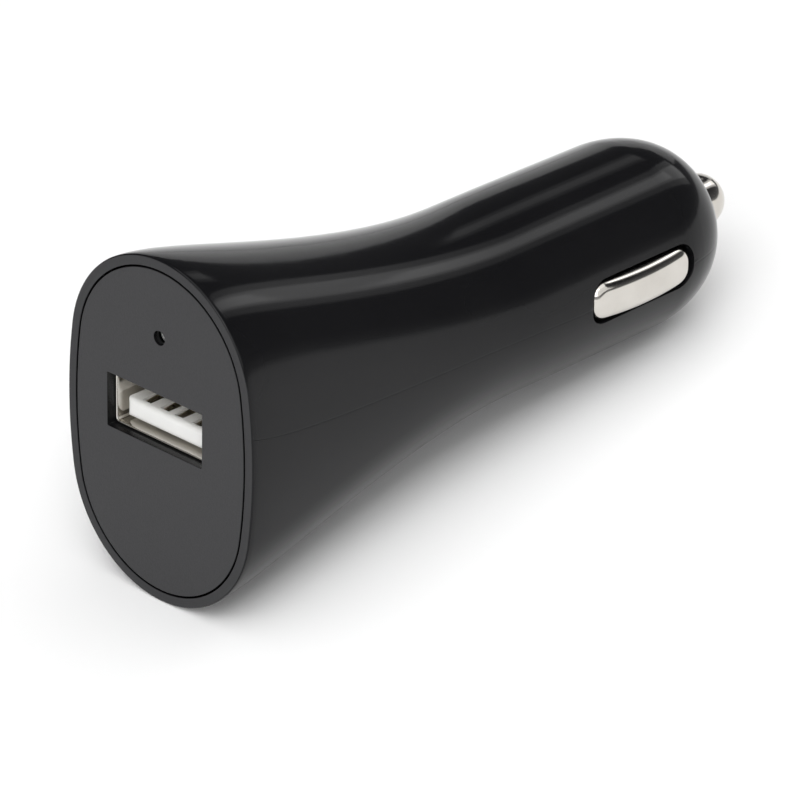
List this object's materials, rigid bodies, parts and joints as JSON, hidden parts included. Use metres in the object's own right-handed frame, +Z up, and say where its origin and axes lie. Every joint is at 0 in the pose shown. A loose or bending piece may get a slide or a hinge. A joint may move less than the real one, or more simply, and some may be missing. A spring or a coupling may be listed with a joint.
{
  "type": "car usb charger plug",
  "caption": "Flared gloss black car socket plug with an oval face, a USB power port, a sprung nose contact and sprung side contacts.",
  "frame": {"origin": "on the plug axis where the flare meets the straight barrel", "axes": "+X along the plug axis towards the nose, the way the plug goes in; +Z up along the face height; the face looks along -X"},
  "size_m": [0.0828, 0.0258, 0.0373],
  "materials": {
    "gloss_black": "deep gloss black moulded plastic",
    "satin_charcoal": "fine satin dark grey moulded plastic",
    "bright_nickel": "bright nickel plate",
    "spring_steel": "drawn spring steel wire",
    "gilt_contact": "gilt copper alloy strip",
    "white_insulator": "white moulded insulator",
    "clear_lens": "milky clear moulded lens",
    "board_green": "green glass-fibre board with solder mask",
    "capacitor_sleeve": "aluminium can in a dark sleeve",
    "ferrite": "sintered dark grey ferrite",
    "copper_winding": "enamelled copper wire",
    "chip_black": "moulded chip body",
    "tinned_copper": "tinned copper",
    "chip_ceramic": "fired ceramic chip"
  },
  "bodies": {
    "housing": {"upper_shell": "gloss_black", "lower_shell": "gloss_black", "face_plate": "satin_charcoal", "indicator_led": "clear_lens", "led_leads": "tinned_copper", "usb_shell": "bright_nickel", "usb_insulator": "white_insulator", "usb_contacts": "gilt_contact", "circuit_board": "board_green", "output_capacitor": "capacitor_sleeve", "input_capacitor": "capacitor_sleeve", "capacitor_leads": "tinned_copper", "inductor_core": "ferrite", "inductor_winding": "copper_winding", "converter_chip": "chip_black", "chip_pins": "tinned_copper", "freewheel_diode": "chip_black", "diode_tabs": "tinned_copper", "chip_resistors": "chip_black", "ceramic_capacitors": "chip_ceramic", "tip_spring": "spring_steel", "tip_terminal": "tinned_copper"},
    "tip": {"tip_contact": "bright_nickel"},
    "left_side": {"side_contact_left": "bright_nickel"},
    "right_side": {"side_contact_right": "bright_nickel"}
  },
  "joints": [
    {"name": "tip_press", "type": "slide", "parent": "housing", "child": "tip", "axis": [-1, 0, 0], "range_m": [0, 0.003], "stiffness_N_per_m": 1500, "springref_m": -0.002, "deforming": ["tip_spring"]},
    {"name": "left_press", "type": "hinge", "parent": "housing", "child": "left_side", "pos_m": [-0.005, 0.0057, 0], "axis": [0, 0, -1], "range_deg": [0, 3.3], "stiffness_Nm_per_rad": 2.5},
    {"name": "right_press", "type": "hinge", "parent": "housing", "child": "right_side", "pos_m": [-0.005, -0.0057, 0], "axis": [0, 0, 1], "range_deg": [0, 3.3], "stiffness_Nm_per_rad": 2.5}
  ]
}
